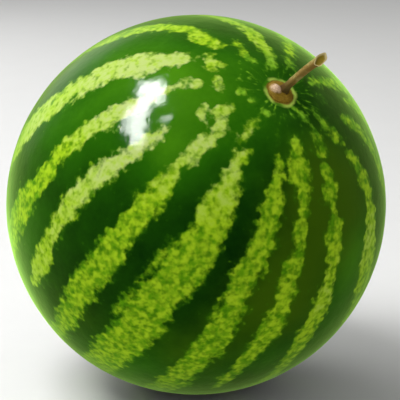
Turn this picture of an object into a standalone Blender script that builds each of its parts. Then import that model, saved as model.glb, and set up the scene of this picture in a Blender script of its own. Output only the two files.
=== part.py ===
"""A whole round watermelon with its cut stem, lying on a small flat spot.

Metres, +Z up. The origin is the centre of the flat spot that the fruit rests on, on the ground plane.
The fruit's own axis runs from the blossom end to the stem end. It leans away from upright by LEAN, with
the stem end towards -Y. Both pieces are shaped along a local +Z and then take that axis from an empty.
"""

import math

import bmesh
import bpy
from mathutils import Vector

COLLECTION_NAME = "watermelon"
CUTTERS_NAME = "cutters"

# Fruit.
EQUATOR_RADIUS = 0.125
POLE_RADIUS = 0.126
LEAN = math.radians(45.0)
STEM_HOLLOW_RADIUS = 0.026
STEM_HOLLOW_DEPTH = 0.0025
BLOSSOM_HOLLOW_RADIUS = 0.012
BLOSSOM_HOLLOW_DEPTH = 0.0015
GROUND_SPOT_RADIUS = 0.022
TURNED_STEPS = 64
OUTLINE_STEPS = 36
HOLLOW_STEPS = 4
MERGE_DISTANCE = 0.00001

# Stem.
STEM_LENGTH = 0.045
STEM_RADIUS = 0.0026
STEM_TIP_RADIUS = 0.0034
STEM_PAD_RADIUS = 0.0085
STEM_FLARE_HEIGHT = 0.008
STEM_TILT = math.radians(11.0)
STEM_TURN = math.radians(-54.0)
STEM_EASE_HEIGHT = 0.003
STEM_TIP_BEND = 0.0015
STEM_SEAT_MARGIN = 0.0005
STEM_GAP = 0.0003
STEM_STEPS = 14
STEM_BEVEL_RESOLUTION = 4

# Surfaces: colour, roughness.
RIND_FINISH = ((0.055, 0.165, 0.018, 1.0), 0.32)
STEM_FINISH = ((0.21, 0.17, 0.065, 1.0), 0.75)


def clear_scene():
    """Removes every object, so that only this model is left."""
    for item in list(bpy.data.objects):
        bpy.data.objects.remove(item, do_unlink=True)


def collection(name):
    """Returns a new collection in the scene."""
    group = bpy.data.collections.new(name)
    bpy.context.scene.collection.children.link(group)
    return group


def material(name, finish):
    """Returns a Principled BSDF material with a finish's colour and roughness."""
    colour, roughness = finish
    made = bpy.data.materials.new(name)
    made.use_nodes = True
    shader = made.node_tree.nodes["Principled BSDF"]
    shader.inputs["Base Color"].default_value = colour
    shader.inputs["Roughness"].default_value = roughness
    shader.inputs["Metallic"].default_value = 0.0
    made.diffuse_color = colour
    return made


def support_height():
    """Returns how far a plane that just touches the leaning fruit lies below its centre."""
    across = EQUATOR_RADIUS * math.sin(LEAN)
    along = POLE_RADIUS * math.cos(LEAN)
    return math.hypot(across, along)


def centre_height():
    """Returns the height of the fruit's centre that leaves a flat spot of GROUND_SPOT_RADIUS at z = 0."""
    share_left = 1.0 - (GROUND_SPOT_RADIUS / EQUATOR_RADIUS) ** 2
    return support_height() * math.sqrt(share_left)


def centre_offset():
    """Returns how far along Y the fruit's centre lies from the middle of its flat spot."""
    difference = POLE_RADIUS**2 - EQUATOR_RADIUS**2
    return -centre_height() * difference * math.sin(LEAN) * math.cos(LEAN) / support_height() ** 2


def fruit_axis(group):
    """Adds the empty that carries the leaning axis of the fruit."""
    axis = bpy.data.objects.new("fruit_axis", None)
    axis.location = (0.0, centre_offset(), centre_height())
    axis.rotation_euler = (LEAN, 0.0, 0.0)
    group.objects.link(axis)
    return axis


def seat_radius():
    """Returns the radius of the flat seat under the stem's pad."""
    return STEM_PAD_RADIUS + STEM_SEAT_MARGIN


def hollow(radius, inner, outer, depth):
    """Returns the depth of a rounded hollow at a distance from the axis.

    It is full inside the inner radius and fades smoothly to nothing at the outer one.
    """
    if radius <= inner:
        return depth
    if radius >= outer:
        return 0.0
    fade = (radius - inner) / (outer - inner)
    return depth * 0.5 * (1.0 + math.cos(math.pi * fade))


def ellipse_height(radius):
    """Returns the height of the plain ellipse above the equator at a distance from the axis."""
    return POLE_RADIUS * math.sqrt(1.0 - (radius / EQUATOR_RADIUS) ** 2)


def stem_seat_height():
    """Returns the height of the flat seat above the fruit's centre, along its axis."""
    return ellipse_height(seat_radius()) - STEM_HOLLOW_DEPTH


def stem_side_point(radius):
    """Returns a point of the outline on the stem side, from its distance to the axis."""
    dip = hollow(radius, seat_radius(), STEM_HOLLOW_RADIUS, STEM_HOLLOW_DEPTH)
    return Vector((radius, 0.0, ellipse_height(radius) - dip))


def blossom_side_point(radius):
    """Returns a point of the outline on the blossom side, from its distance to the axis."""
    dip = hollow(radius, 0.0, BLOSSOM_HOLLOW_RADIUS, BLOSSOM_HOLLOW_DEPTH)
    return Vector((radius, 0.0, dip - ellipse_height(radius)))


def fruit_outline():
    """Returns the fruit's outline from the stem seat, down its outer side, to the blossom end."""
    points = [Vector((0.0, 0.0, stem_seat_height()))]
    for step in range(HOLLOW_STEPS + 1):
        share = step / HOLLOW_STEPS
        points.append(stem_side_point(seat_radius() + share * (STEM_HOLLOW_RADIUS - seat_radius())))
    start = math.asin(STEM_HOLLOW_RADIUS / EQUATOR_RADIUS)
    end = math.pi - math.asin(BLOSSOM_HOLLOW_RADIUS / EQUATOR_RADIUS)
    for step in range(1, OUTLINE_STEPS + 1):
        angle = start + (end - start) * step / OUTLINE_STEPS
        points.append(Vector((EQUATOR_RADIUS * math.sin(angle), 0.0, POLE_RADIUS * math.cos(angle))))
    for step in range(1, HOLLOW_STEPS + 1):
        points.append(blossom_side_point(BLOSSOM_HOLLOW_RADIUS * (1.0 - step / HOLLOW_STEPS)))
    return points


def outline_mesh(name, points):
    """Returns a mesh that holds one open line through the points."""
    mesh = bpy.data.meshes.new(name)
    shape = bmesh.new()
    corners = [shape.verts.new(point) for point in points]
    for first, second in zip(corners, corners[1:]):
        shape.edges.new((first, second))
    shape.to_mesh(mesh)
    shape.free()
    return mesh


def ground_cutter(group):
    """Adds the hidden block that takes away what lies below the ground plane."""
    side = 2.0 * (EQUATOR_RADIUS + POLE_RADIUS)
    mesh = bpy.data.meshes.new("ground_cutter")
    shape = bmesh.new()
    bmesh.ops.create_cube(shape, size=side)
    shape.to_mesh(mesh)
    shape.free()
    cutter = bpy.data.objects.new("ground_cutter", mesh)
    cutter.location = (0.0, 0.0, -side / 2.0)
    cutter.hide_render = True
    cutter.display_type = "WIRE"
    group.objects.link(cutter)
    return cutter


def add_fruit(group, axis, cutter):
    """Adds the fruit: its outline turned about the leaning axis, cut flat where it rests."""
    fruit = bpy.data.objects.new("fruit", outline_mesh("fruit", fruit_outline()))
    fruit.parent = axis
    turn = fruit.modifiers.new("turn", "SCREW")
    turn.axis = "Z"
    turn.angle = 2.0 * math.pi
    turn.steps = TURNED_STEPS
    turn.render_steps = TURNED_STEPS
    turn.use_merge_vertices = True
    turn.merge_threshold = MERGE_DISTANCE
    turn.use_smooth_shade = True
    rest = fruit.modifiers.new("ground_spot", "BOOLEAN")
    rest.operation = "DIFFERENCE"
    rest.solver = "EXACT"
    rest.object = cutter
    fruit.data.materials.append(material("rind", RIND_FINISH))
    group.objects.link(fruit)
    return fruit


def stem_radius(share):
    """Returns the stem's radius at a share of its length, from its pad to its cut tip."""
    height = share * STEM_LENGTH
    if height < STEM_FLARE_HEIGHT:
        fall = 1.0 - height / STEM_FLARE_HEIGHT
        return STEM_RADIUS + (STEM_PAD_RADIUS - STEM_RADIUS) * fall**3
    along_shaft = (height - STEM_FLARE_HEIGHT) / (STEM_LENGTH - STEM_FLARE_HEIGHT)
    return STEM_RADIUS + (STEM_TIP_RADIUS - STEM_RADIUS) * along_shaft**3


def stem_point(share):
    """Returns a point of the stem's centre line above its pad.

    The line leaves the pad squarely, so that the pad's underside stays flat. It then leans towards +X
    and bends a little further over near the tip.
    """
    height = share * STEM_LENGTH
    leaning = height - STEM_EASE_HEIGHT * (1.0 - math.exp(-height / STEM_EASE_HEIGHT))
    sideways = math.tan(STEM_TILT) * leaning + STEM_TIP_BEND * share**4
    return Vector((sideways, 0.0, height))


def add_stem(group, axis):
    """Adds the stem: one bevelled line that stands on the fruit's flat seat.

    The bevel is 1 m deep, so that each point's radius factor is the stem's radius there in metres.
    """
    curve = bpy.data.curves.new("stem", "CURVE")
    curve.dimensions = "3D"
    curve.bevel_depth = 1.0
    curve.bevel_resolution = STEM_BEVEL_RESOLUTION
    curve.use_fill_caps = True
    line = curve.splines.new("POLY")
    line.points.add(STEM_STEPS)
    for step, point in enumerate(line.points):
        share = (step / STEM_STEPS) ** 2
        point.co = (*stem_point(share), 1.0)
        point.radius = stem_radius(share)
    line.use_smooth = True
    curve.materials.append(material("stem", STEM_FINISH))
    stem = bpy.data.objects.new("stem", curve)
    stem.parent = axis
    stem.location = (0.0, 0.0, stem_seat_height() + STEM_GAP)
    stem.rotation_euler = (0.0, 0.0, STEM_TURN)
    group.objects.link(stem)
    return stem


def main():
    """Builds the watermelon."""
    clear_scene()
    pieces = collection(COLLECTION_NAME)
    cutters = collection(CUTTERS_NAME)
    cutters.hide_render = True
    axis = fruit_axis(pieces)
    cutter = ground_cutter(cutters)
    add_fruit(pieces, axis, cutter)
    add_stem(pieces, axis)


main()
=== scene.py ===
"""The looks of a whole watermelon: striped rind, corky stem seat, cut stem and blossom scar.

Everything is in metres in the part's own frame, +Z up, with the origin in the middle of the flat spot
that the fruit rests on. Shapes that belong to the fruit are made about its own axis, +Z from the middle
of the fruit to the stem end, and FruitAxis then leans them over as the fruit lies.

A place on the rind is given by two angles: the colatitude, counted from the stem end, and the longitude,
counted about the axis from the meridian that faces the main view. Sizes on the rind and inside the
materials are in millimetres.
"""

from __future__ import annotations

import logging
import math
from collections.abc import Callable
from dataclasses import dataclass
from enum import Enum

import bpy
import numpy as np
from mathutils import Matrix, Vector

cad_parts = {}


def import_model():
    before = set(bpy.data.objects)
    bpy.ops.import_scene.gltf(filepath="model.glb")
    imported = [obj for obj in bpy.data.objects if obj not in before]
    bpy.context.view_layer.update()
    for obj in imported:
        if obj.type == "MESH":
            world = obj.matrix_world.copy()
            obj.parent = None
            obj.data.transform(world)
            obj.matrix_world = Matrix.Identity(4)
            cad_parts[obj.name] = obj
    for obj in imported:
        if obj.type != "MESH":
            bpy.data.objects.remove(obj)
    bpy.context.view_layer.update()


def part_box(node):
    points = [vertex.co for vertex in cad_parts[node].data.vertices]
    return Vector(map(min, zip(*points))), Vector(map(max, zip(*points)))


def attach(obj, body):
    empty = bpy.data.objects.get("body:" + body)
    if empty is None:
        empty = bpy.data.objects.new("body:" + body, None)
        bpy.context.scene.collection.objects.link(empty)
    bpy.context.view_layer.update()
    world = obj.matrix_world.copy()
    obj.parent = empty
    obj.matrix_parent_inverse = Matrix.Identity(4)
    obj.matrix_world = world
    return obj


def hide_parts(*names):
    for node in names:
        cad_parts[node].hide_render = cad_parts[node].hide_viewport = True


LOG = logging.getLogger("watermelon")

MM = 0.001

# The camera's clipping distances.
NEAREST_SEEN = 0.05
FARTHEST_SEEN = 50.0

# The fruit's proportions and how it lies. Its size comes from the frame.
POLE_OVER_EQUATOR = 1.008
LEAN_DEGREES = 45.0
ZERO_MERIDIAN_DEGREES = -145.4

# The depth that a point starts with before any stripe reaches it, in millimetres.
BARE_DEPTH = -20.0

# How strong reflections are on the stem and the cork.
DRY_SPECULAR = 0.02

# Attributes that the shapes carry for their materials.
UNIT_PLACE = "unit_place"
STEM_SHARE = "stem_share"
STEM_CUT = "stem_cut"
SWELLING = "swelling"

Colour = tuple[float, float, float, float]
Triple = tuple[float, float, float]


class Slot(Enum):
    """The record's material slots."""

    RIND = "rind"
    STEM = "stem"


class LampUse(Enum):
    """What a lamp is for."""

    LIGHT = "lights the surfaces and never shows as a highlight"
    GLINT = "shows as a highlight and lights nothing else"


class Layer(Enum):
    """The attributes that the rind's mesh carries for its material."""

    STRIPE = "stripe_depth"
    # Painted light: this layer makes the light stripes paler under the lamps and near the rims, on top of
    # their own paleness.
    TONE = "stripe_tone_and_painted_light"
    # Painted light: this layer makes the dark bands lighter under the lamps and near the rims, on top of
    # their own colour.
    SHADE = "band_shade_and_painted_light"
    OLIVE = "band_olive"
    STEM_REACH = "stem_reach"
    BLOSSOM_REACH = "blossom_reach"
    GROUND_REACH = "ground_reach"


def toward(azimuth: float, elevation: float) -> Vector:
    """Points away from the fruit.

    Args:
        azimuth: The direction's turn, in degrees from -Y towards +X.
        elevation: Its height, in degrees.

    Returns:
        The unit vector.
    """
    turn = math.radians(azimuth)
    rise = math.radians(elevation)
    return Vector((math.sin(turn) * math.cos(rise), -math.cos(turn) * math.cos(rise), math.sin(rise)))


def arithmetic(operation: str, reverse: bool = False) -> Callable[[Term, Amount], Term]:
    """Makes an arithmetic method for Term.

    Args:
        operation: The Math node's operation.
        reverse: Whether the other value comes first.

    Returns:
        The method.
    """

    def method(term: Term, other: Amount) -> Term:
        """Adds the Math node and returns its result."""
        return term.sheet.math(operation, *((other, term) if reverse else (term, other)))

    return method


class Term:
    """One output of a node. Arithmetic on it adds more nodes to the same sheet."""

    __add__ = arithmetic("ADD")
    __radd__ = arithmetic("ADD", reverse=True)
    __sub__ = arithmetic("SUBTRACT")
    __rsub__ = arithmetic("SUBTRACT", reverse=True)
    __mul__ = arithmetic("MULTIPLY")
    __rmul__ = arithmetic("MULTIPLY", reverse=True)
    __truediv__ = arithmetic("DIVIDE")
    __pow__ = arithmetic("POWER")

    def __init__(self, sheet: NodeSheet, socket: bpy.types.NodeSocket) -> None:
        """Keeps the socket and the sheet that it belongs to."""
        self.sheet = sheet
        self.socket = socket


Amount = Term | float


class NodeSheet:
    """A node tree that is written as formulas, for shapes and for materials alike."""

    def __init__(self, tree: bpy.types.NodeTree) -> None:
        """Starts on an existing tree."""
        self.tree = tree

    def node(self, kind: str, **settings: object) -> bpy.types.Node:
        """Adds a node.

        Args:
            kind: The node's type name.
            **settings: Its properties and their values.

        Returns:
            The new node.
        """
        made = self.tree.nodes.new(kind)
        for name, value in settings.items():
            setattr(made, name, value)
        return made

    def connect(self, socket: bpy.types.NodeSocket, value: object) -> None:
        """Links a term to an input, or sets the input to a plain value.

        Args:
            socket: The input.
            value: A Term, or a value that the input can hold.
        """
        if isinstance(value, Term):
            self.tree.links.new(value.socket, socket)
        else:
            socket.default_value = value

    def feed(self, made: bpy.types.Node, **values: object) -> bpy.types.Node:
        """Fills a node's inputs by name.

        Args:
            made: The node.
            **values: Input names, with an underscore for each space, and a value or Term for each.

        Returns:
            The same node.
        """
        for name, value in values.items():
            wanted = name.replace("_", " ")
            socket = next(item for item in made.inputs if item.enabled and item.name == wanted)
            self.connect(socket, value)
        return made

    def out(self, made: bpy.types.Node, name: str = "") -> Term:
        """An output of a node by its name, or its first one in use."""
        return Term(self, next(s for s in made.outputs if s.enabled and (not name or s.name == name)))

    def math(self, operation: str, *terms: Amount) -> Term:
        """Adds a Math node.

        Args:
            operation: The node's operation.
            *terms: One, two or three inputs.

        Returns:
            The result.
        """
        made = self.node("ShaderNodeMath", operation=operation)
        for socket, term in zip(made.inputs, terms):
            self.connect(socket, term)
        return self.out(made)

    def vector(self, operation: str, *terms: Term | Triple) -> Term:
        """Adds a Vector Math node.

        Args:
            operation: The node's operation.
            *terms: Its vector inputs.

        Returns:
            The result, a vector or, where the operation measures, a number.
        """
        made = self.node("ShaderNodeVectorMath", operation=operation)
        for socket, term in zip(made.inputs, terms):
            self.connect(socket, term)
        return self.out(made)

    def scaled(self, place: Term, factor: Amount) -> Term:
        """A vector times one number."""
        made = self.node("ShaderNodeVectorMath", operation="SCALE")
        return self.out(self.feed(made, Vector=place, Scale=factor))

    def parts(self, place: Term) -> tuple[Term, Term, Term]:
        """The x, y and z of a vector."""
        made = self.feed(self.node("ShaderNodeSeparateXYZ"), Vector=place)
        return (self.out(made, "X"), self.out(made, "Y"), self.out(made, "Z"))

    def joined(self, x: Amount, y: Amount, z: Amount) -> Term:
        """A vector from its x, y and z."""
        return self.out(self.feed(self.node("ShaderNodeCombineXYZ"), X=x, Y=y, Z=z))

    def from_axis(self, x: Term, y: Term) -> Term:
        """The distance of a place from the z axis."""
        return self.math("SQRT", x * x + y * y)

    def rise(self, value: Amount, start: Amount, end: Amount) -> Term:
        """A smooth step from 0 to 1 as the value goes from start to end."""
        made = self.node("ShaderNodeMapRange", interpolation_type="SMOOTHSTEP")
        return self.out(self.feed(made, Value=value, From_Min=start, From_Max=end))

    def clamped(self, value: Term, low: float, high: float) -> Term:
        """A value held between two limits."""
        return self.math("MINIMUM", self.math("MAXIMUM", value, low), high)

    def noise(
        self,
        place: Term,
        size: float,
        detail: float = 2.0,
        roughness: float = 0.5,
        distortion: float = 0.0,
        seed: float = 0.0,
    ) -> Term:
        """Soft noise.

        Args:
            place: Where it is read.
            size: The size of its largest blobs, in the place's units.
            detail: How many finer layers it has.
            roughness: How strong the finer layers are.
            distortion: How much it swirls.
            seed: A number that shifts the noise, so that two are unlike.

        Returns:
            The noise, about 0.2 to 0.8 with a middle of 0.5.
        """
        made = self.node("ShaderNodeTexNoise")
        spot = self.vector("ADD", place, (37.0 * seed, 11.0 * seed, 23.0 * seed))
        self.feed(made, Vector=spot, Scale=1.0 / size, Detail=detail)
        return self.out(self.feed(made, Roughness=roughness, Distortion=distortion))

    def cells(self, place: Term, size: float, feature: str = "F1", seed: float = 0.0) -> Term:
        """Distances inside a random cell pattern.

        Args:
            place: Where it is read.
            size: The size of a cell, in the place's units.
            feature: F1 or SMOOTH_F1 for the distance to a cell's middle, DISTANCE_TO_EDGE to its edge.
            seed: A number that shifts the pattern, so that two are unlike.

        Returns:
            The distance, in cells.
        """
        made = self.node("ShaderNodeTexVoronoi", feature=feature)
        spot = self.vector("ADD", place, (19.0 * seed, 41.0 * seed, 7.0 * seed))
        return self.out(self.feed(made, Vector=spot, Scale=1.0 / size), "Distance")


class ShapeSheet(NodeSheet):
    """A Geometry Nodes tree with named inputs, which makes one mesh."""

    def __init__(self, name: str) -> None:
        """Adds the empty tree with its output.

        Args:
            name: The tree's name.
        """
        super().__init__(bpy.data.node_groups.new(name, "GeometryNodeTree"))
        self.values: dict[str, object] = {}
        self.tree.interface.new_socket("Geometry", in_out="OUTPUT", socket_type="NodeSocketGeometry")
        self.inputs = self.node("NodeGroupInput")
        self.result = self.node("NodeGroupOutput")

    def size(self, name: str, value: object, kind: str = "Float") -> Term:
        """Adds a named input to the tree and notes the value that it is given.

        Args:
            name: The input's name.
            value: The value for this object.
            kind: The socket's kind: Float, Int, Vector or Material.

        Returns:
            The input as a term.
        """
        made = self.tree.interface.new_socket(name, in_out="INPUT", socket_type=f"NodeSocket{kind}")
        self.values[made.identifier] = value
        return Term(self, next(s for s in self.inputs.outputs if s.identifier == made.identifier))

    def sizes(self, owner: object, *fields: str) -> list[Term]:
        """Adds an input for each of an object's numbers, named after its field."""
        return [self.size(name.replace("_", " ").capitalize(), getattr(owner, name)) for name in fields]

    def position(self) -> Term:
        """The place of each point."""
        return self.out(self.node("GeometryNodeInputPosition"))

    def moved(self, mesh: Term, place: Term) -> Term:
        """The mesh with each of its points in a new place."""
        return self.out(self.feed(self.node("GeometryNodeSetPosition"), Geometry=mesh, Position=place))

    def stored(self, mesh: Term, name: str, value: Term, kind: str = "FLOAT") -> Term:
        """The mesh with a value kept on each point, under an attribute's name and data type."""
        made = self.node("GeometryNodeStoreNamedAttribute", data_type=kind, domain="POINT")
        return self.out(self.feed(made, Geometry=mesh, Name=name, Value=value))

    def finished(self, mesh: Term, material: Term) -> None:
        """Ends the tree: smooth shading, one material and no instances.

        Args:
            mesh: The shaped mesh.
            material: The material input.
        """
        smooth = self.feed(self.node("GeometryNodeSetShadeSmooth"), Geometry=mesh)
        real = self.feed(self.node("GeometryNodeRealizeInstances"), Geometry=self.out(smooth))
        dressed = self.node("GeometryNodeSetMaterial")
        self.feed(dressed, Geometry=self.out(real), Material=material)
        self.connect(self.result.inputs[0], self.out(dressed))

    def mesh(self, name: str) -> bpy.types.Mesh:
        """Runs the tree once and keeps what it makes.

        Args:
            name: The name for the mesh.

        Returns:
            A plain mesh with no modifier behind it.
        """
        carrier = bpy.data.objects.new(name, bpy.data.meshes.new(name + "_start"))
        bpy.context.scene.collection.objects.link(carrier)
        modifier = carrier.modifiers.new("shape", "NODES")
        modifier.node_group = self.tree
        for identifier, value in self.values.items():
            modifier[identifier] = value
        graph = bpy.context.evaluated_depsgraph_get()
        made = bpy.data.meshes.new_from_object(carrier.evaluated_get(graph), depsgraph=graph)
        made.name = name
        bpy.data.objects.remove(carrier, do_unlink=True)
        return made


class SurfaceSheet(NodeSheet):
    """A material whose patterns are written as formulas in millimetres."""

    def __init__(self, name: str) -> None:
        """Adds the material.

        Args:
            name: The material's name.
        """
        self.material = bpy.data.materials.new(name)
        self.material.use_nodes = True
        super().__init__(self.material.node_tree)
        self.shader = self.tree.nodes["Principled BSDF"]
        spot = self.out(self.node("ShaderNodeTexCoord"), "Object")
        self.place = self.scaled(spot, 1.0 / MM)

    def attribute(self, name: str, output: str = "Fac") -> Term:
        """An attribute of the mesh, as a number or through another output."""
        return self.out(self.node("ShaderNodeAttribute", attribute_name=name), output)

    def layer(self, which: Layer) -> Term:
        """A painted layer of the rind's mesh."""
        return self.attribute(which.value)

    def blend(self, factor: Amount, first: Term | Colour, second: Term | Colour) -> Term:
        """A mix of two colours, the first at a factor of 0 and the second at 1."""
        made = self.node("ShaderNodeMix", data_type="RGBA")
        return self.out(self.feed(made, Factor=factor, A=first, B=second))

    def dress(self, colour: Term, roughness: Amount, relief: Term, height: float) -> bpy.types.Material:
        """Finishes the material.

        Args:
            colour: The base colour.
            roughness: The roughness.
            relief: The height of the fine surface, about 0 to 1.
            height: What a relief of 1 stands for, in millimetres.

        Returns:
            The material.
        """
        bump = self.feed(self.node("ShaderNodeBump"), Height=relief, Distance=height * MM)
        self.feed(self.shader, Base_Color=colour, Roughness=roughness, Normal=self.out(bump))
        return self.material


@dataclass(frozen=True)
class FruitAxis:
    """The leaning axis of the fruit, and the sizes of the plain body around it.

    Attributes:
        equator_radius: Radius across the axis.
        pole_radius: Half length along the axis, before the end hollows.
        lean: How far the stem end leans over towards -Y.
        zero_meridian: The angle about the axis, from +X, of the meridian with longitude 0.
        centre: The middle of the fruit.
    """

    equator_radius: float
    pole_radius: float
    lean: float
    zero_meridian: float
    centre: Vector

    @classmethod
    def from_frame(cls) -> FruitAxis:
        """Reads the fruit's sizes off its solid in the frame.

        Returns:
            The axis.
        """
        low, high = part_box("fruit")
        equator = (high.x - low.x) / 2.0
        pole = equator * POLE_OVER_EQUATOR
        lean = math.radians(LEAN_DEGREES)
        support = math.hypot(equator * math.sin(lean), pole * math.cos(lean))
        centre = Vector(((low.x + high.x) / 2.0, (low.y + high.y) / 2.0, high.z - support))
        return cls(equator, pole, lean, math.radians(ZERO_MERIDIAN_DEGREES), centre)

    @property
    def matrix(self) -> Matrix:
        """Takes a place about the upright axis to where it lies."""
        return Matrix.Translation(self.centre) @ Matrix.Rotation(self.lean, 4, "X")

    def turn(self, longitude: float) -> float:
        """The angle about the axis, from +X, of a longitude in degrees."""
        return self.zero_meridian + math.radians(longitude)

    def height_at(self, radius: float) -> float:
        """Height of the plain body above the equator at a distance from the axis."""
        return self.pole_radius * math.sqrt(1.0 - (radius / self.equator_radius) ** 2)


@dataclass(frozen=True)
class Stripe:
    """One light stripe of the rind, from near the stem towards the blossom end.

    Attributes:
        course: Points along its middle, each a colatitude and a longitude in degrees and a half width
            in millimetres.
        tone: How much paler than the other stripes it is.
        firmness: How deep in millimetres its middle counts. A low one lets the dark skin break through.
    """

    course: tuple[Triple, ...]
    tone: float = 0.0
    firmness: float = 4.5


@dataclass(frozen=True)
class Fleck:
    """A small light patch of the rind beside the stripes.

    Attributes:
        colatitude: Its middle, in degrees from the stem end.
        longitude: Its middle, in degrees about the axis.
        along: Its half length along the meridian, in millimetres.
        across: Its half width, in millimetres.
        firmness: How deep in millimetres its middle counts.
    """

    colatitude: float
    longitude: float
    along: float
    across: float
    firmness: float = 1.2


@dataclass(frozen=True)
class Wash:
    """A wide soft area where the skin has another tone.

    Attributes:
        colatitude: Its middle, in degrees from the stem end.
        longitude: Its middle, in degrees about the axis.
        reach: How far it spreads, in millimetres.
        lift: How much it adds. A negative one takes away.
    """

    colatitude: float
    longitude: float
    reach: float
    lift: float


STRIPES = (
    Stripe((
        (28, -77, 4.5), (33, -76, 7.5), (40, -73, 9.5), (50, -72, 9.5), (60, -69, 8), (70, -67.5, 10),
        (80, -67, 10), (95, -66.5, 9.5), (115, -66, 8), (140, -67, 5), (158, -70, 2),
    ), tone=0.1),
    Stripe((
        (30, -56, 2), (38, -52, 4), (47, -49.5, 6), (58, -48.5, 5.8), (70, -46, 6.6), (80, -43.5, 8.5),
        (90, -43.5, 10), (100, -43, 9.5), (120, -43, 8), (145, -45, 4), (160, -46, 2),
    )),
    Stripe((
        (36, -33, 2), (45, -32, 4.8), (60, -32, 6.4), (70, -31, 7), (77, -29.5, 5), (90, -27, 8),
        (97, -26, 7), (105, -25.5, 2),
    ), tone=0.4, firmness=3.5),
    Stripe((
        (27, -16, 4), (31, -16.5, 6), (35, -16, 5.2), (38.5, -15.5, 2.6), (43, -14, 6), (52, -13.8, 7.4),
        (60, -12.9, 7.6), (70, -11.5, 8.5), (90, -11.5, 8.3), (100, -10.5, 7), (115, -11, 6),
        (135, -11, 5), (155, -12, 2.5),
    ), tone=0.05),
    Stripe((
        (29, 6, 4), (36, 8, 8.5), (42, 8.8, 10), (50, 9.7, 11), (60, 9.2, 12.6), (70, 7.8, 12.3),
        (80, 7.8, 12.8), (90, 7.2, 13.5), (100, 6, 12.5), (115, 6, 11), (135, 5, 8), (155, 4, 4),
    )),
    Stripe((
        (21, 30, 1), (30, 31, 4), (38, 31, 6), (45, 30, 6.8), (52, 29, 7.6), (60, 28.5, 7.4),
        (75, 28.5, 9), (90, 27, 9.2), (110, 27, 8.5), (130, 26, 6), (152, 25, 3),
    )),
    Stripe((
        (15, 46, 2), (20, 46.5, 5.5), (26, 47, 6.5), (32, 48, 4.2), (36, 47.5, 2.8), (40, 46.8, 5.4),
        (44, 46.2, 3.8), (50, 45, 6.2), (60, 45, 5.1), (72, 43.5, 7.6), (80, 42, 5.6), (90, 40.5, 5),
        (102, 40, 2),
    ), firmness=3.5),
    Stripe((
        (24, 70, 2), (29, 68, 5), (32, 67, 5.4), (36.5, 66, 1.4), (42, 65, 6.6), (52, 63.5, 5),
        (60, 61.5, 6.2), (70, 59, 8), (82, 58, 6.5), (95, 57, 6), (115, 56, 5), (140, 55, 2.5),
    ), firmness=3.5),
    Stripe(((5.5, 72, 1.3), (9, 76, 1.6), (12.5, 78, 1.3)), firmness=1.6),
    Stripe((
        (27, 97, 3), (33, 96, 4.5), (40, 95, 6), (50, 89, 8), (57, 86, 11), (66, 84, 11),
        (78, 83, 9), (95, 82, 8), (115, 82, 6), (138, 83, 3),
    ), firmness=3.0),
    Stripe((
        (22, -100, 3), (28, -101, 6), (34, -105, 5), (42, -104, 6), (52, -100, 8), (62, -96, 8),
        (78, -93, 8), (95, -92, 7), (120, -93, 5), (145, -95, 2.5),
    ), firmness=3.0),
    Stripe((
        (9, -141, 2), (14, -141, 4), (21, -140, 5.5), (30, -137, 5.5), (38, -134, 5.5), (50, -128, 6),
        (65, -124, 7), (85, -121, 8), (105, -120, 7), (130, -121, 4), (152, -122, 2),
    ), tone=0.35),
    Stripe((
        (12, -167, 1.5), (20, -166, 3), (27, -166, 4), (40, -163, 5.5), (60, -158, 8), (80, -154, 9),
        (100, -152, 7.5), (125, -151, 5), (150, -150, 2.5),
    ), tone=0.1, firmness=3.0),
    Stripe((
        (13, 156, 1.5), (18, 155, 3), (26, 155, 4.5), (40, 158, 6), (60, 162, 7.5), (80, 166, 10),
        (100, 169, 9), (125, 170, 6), (150, 171, 3),
    ), firmness=3.0),
    Stripe((
        (28, 141, 3), (35, 141, 6), (50, 139, 8), (70, 137, 9), (95, 136, 8), (120, 135, 5),
        (145, 134, 2.5),
    ), firmness=3.0),
    Stripe((
        (22, 121, 2.5), (27, 123, 4), (34, 122, 5), (45, 117, 6), (60, 113, 7), (80, 110, 8),
        (100, 109, 6), (130, 108, 4), (150, 108, 2),
    ), firmness=2.5),
)

FLECKS = (
    Fleck(20, -76, 6, 5.5, firmness=2.0),
    Fleck(23, -84, 3, 3.5),
    Fleck(18.5, -58, 3, 5, firmness=0.8),
    Fleck(26, -57, 7, 3.5, firmness=0.7),
    Fleck(21, -28, 7, 3.5),
    Fleck(25, -32, 4, 5),
    Fleck(24, -18, 6, 4),
    Fleck(17, -2, 8, 2.6),
    Fleck(26, 5, 6, 4.5, firmness=2.0),
    Fleck(12.6, -44, 2.5, 3, firmness=0.9),
    Fleck(11, -28, 2, 2, firmness=0.5),
    Fleck(10, 5, 2, 1.6, firmness=0.5),
    Fleck(20, -116, 4, 2.5),
    Fleck(13.3, -110, 4, 2),
    Fleck(17, 75, 5, 3, firmness=2.0),
    Fleck(21, 73, 3, 3),
    Fleck(16, 97, 6, 3),
    Fleck(22, 97, 5, 4),
    Fleck(64, 0.8, 9, 1.8, firmness=0.8),
    Fleck(80, 0.4, 7, 1.8, firmness=0.8),
)

# Painted light as well as the stripes' own paleness: these washes make the light stripes paler towards the
# upper left under the lamps and near the right rim, and lay a painted sheen at the lower left rim.
TONES_AND_PAINTED_LIGHT = (
    Wash(38, 5, 30, 0.25),
    Wash(42, -62, 62, 0.85),
    Wash(24, -20, 40, 0.25),
    Wash(18, 30, 30, 0.15),
    Wash(84, -64, 26, 0.45),
    Wash(52, 86, 28, 0.5),
    Wash(62, 62, 26, 0.40),
    Wash(58, 32, 34, 0.12),
)

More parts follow.
